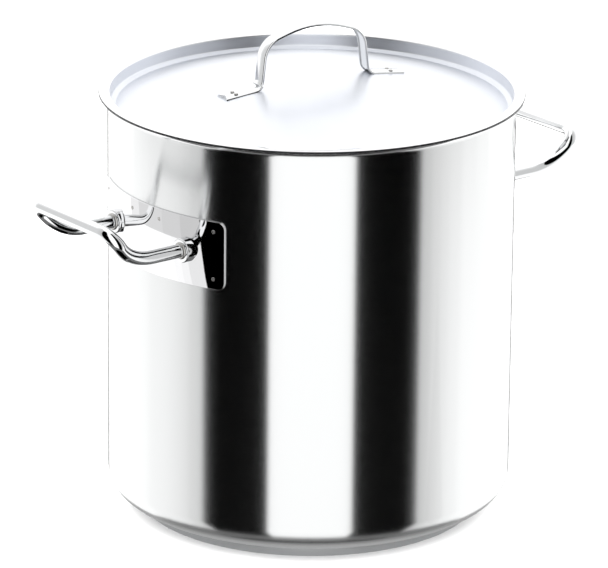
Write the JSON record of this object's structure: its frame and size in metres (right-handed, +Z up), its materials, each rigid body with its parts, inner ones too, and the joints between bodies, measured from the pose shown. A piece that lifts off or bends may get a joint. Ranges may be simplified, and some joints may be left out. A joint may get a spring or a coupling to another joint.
{
  "type": "stock pot",
  "caption": "Deep stainless stock pot with a recessed lift-off lid, a strap handle on the lid and welded tube handles at the sides.",
  "frame": {"origin": "centre of the base's underside, where the pot stands on the hob", "axes": "+Z up along the pot's axis, +X towards the right side handle, so the two side handles lie on the X axis"},
  "size_m": [0.528, 0.376, 0.4421],
  "materials": {
    "satin_body_steel": "satin, brushed around the axis",
    "satin_lid_steel": "fine even satin",
    "mirror_plate_steel": "mirror polished stainless",
    "polished_tube_steel": "polished stainless",
    "polished_strap_steel": "polished stainless",
    "weld_steel": "dressed and polished weld",
    "base_steel": "fine turned satin",
    "heat_disc_aluminium": "rolled, bonded inside the base"
  },
  "bodies": {
    "pot": {"pot_body": "satin_body_steel", "base_heat_disc": "heat_disc_aluminium", "base_cap": "base_steel", "handle_plate_left": "mirror_plate_steel", "handle_plate_right": "mirror_plate_steel", "handle_tube_left": "polished_tube_steel", "handle_tube_right": "polished_tube_steel", "handle_collar_left_front": "polished_tube_steel", "handle_weld_left_front": "weld_steel", "handle_collar_left_rear": "polished_tube_steel", "handle_weld_left_rear": "weld_steel", "handle_collar_right_front": "polished_tube_steel", "handle_weld_right_front": "weld_steel", "handle_collar_right_rear": "polished_tube_steel", "handle_weld_right_rear": "weld_steel", "spot_welds_left": "weld_steel", "spot_welds_right": "weld_steel"},
    "lid": {"lid_shell": "satin_lid_steel", "lid_handle": "polished_strap_steel", "lid_handle_welds_left": "weld_steel", "lid_handle_welds_right": "weld_steel"}
  },
  "joints": [
    {"name": "lid_lift", "type": "slide", "parent": "pot", "child": "lid", "axis": [0, 0, 1], "range_m": [0, 0.2]}
  ]
}
